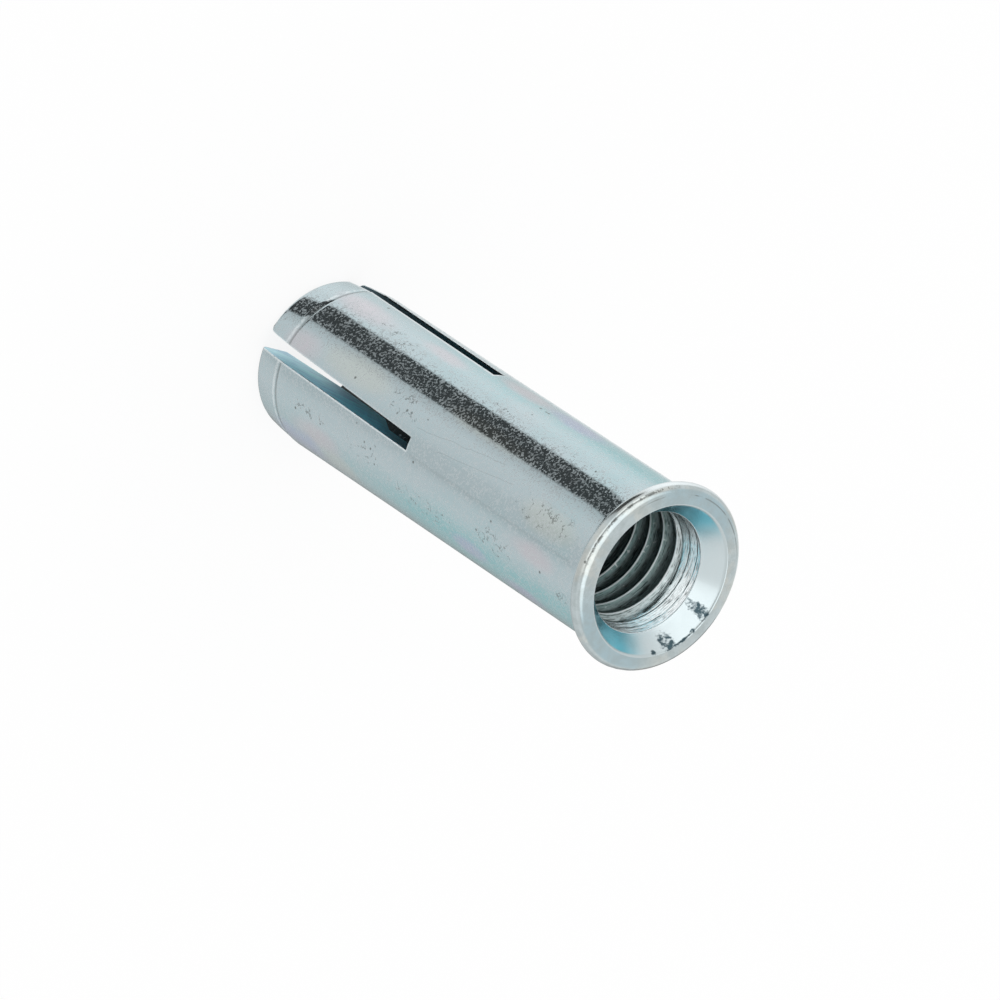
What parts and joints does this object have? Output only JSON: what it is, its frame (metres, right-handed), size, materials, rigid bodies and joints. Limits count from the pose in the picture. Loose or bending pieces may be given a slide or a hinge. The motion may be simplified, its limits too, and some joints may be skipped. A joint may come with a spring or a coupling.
{
  "type": "flanged drop-in anchor",
  "caption": "Zinc-plated steel drop-in anchor: lipped, internally threaded sleeve with a slotted expansion end and a conical expander plug inside.",
  "frame": {"origin": "centre of the expansion end's face, where the anchor stands on its tip", "axes": "+Z along the sleeve's axis from the expansion end to the threaded mouth; +Y through one pair of slots, +X about 4 degrees off the other"},
  "size_m": [0.0136, 0.0136, 0.0394],
  "materials": {
    "zinc_plated_steel": "blue passivated zinc, satin, fine pits",
    "plug_steel": "zinc plated, dull"
  },
  "bodies": {
    "sleeve": {"sleeve": "zinc_plated_steel"},
    "plug": {"expander_plug": "plug_steel"}
  },
  "joints": [
    {"name": "plug_slide", "type": "slide", "parent": "sleeve", "child": "plug", "axis": [0, 0, -1], "range_m": [0, 0.0055]}
  ]
}
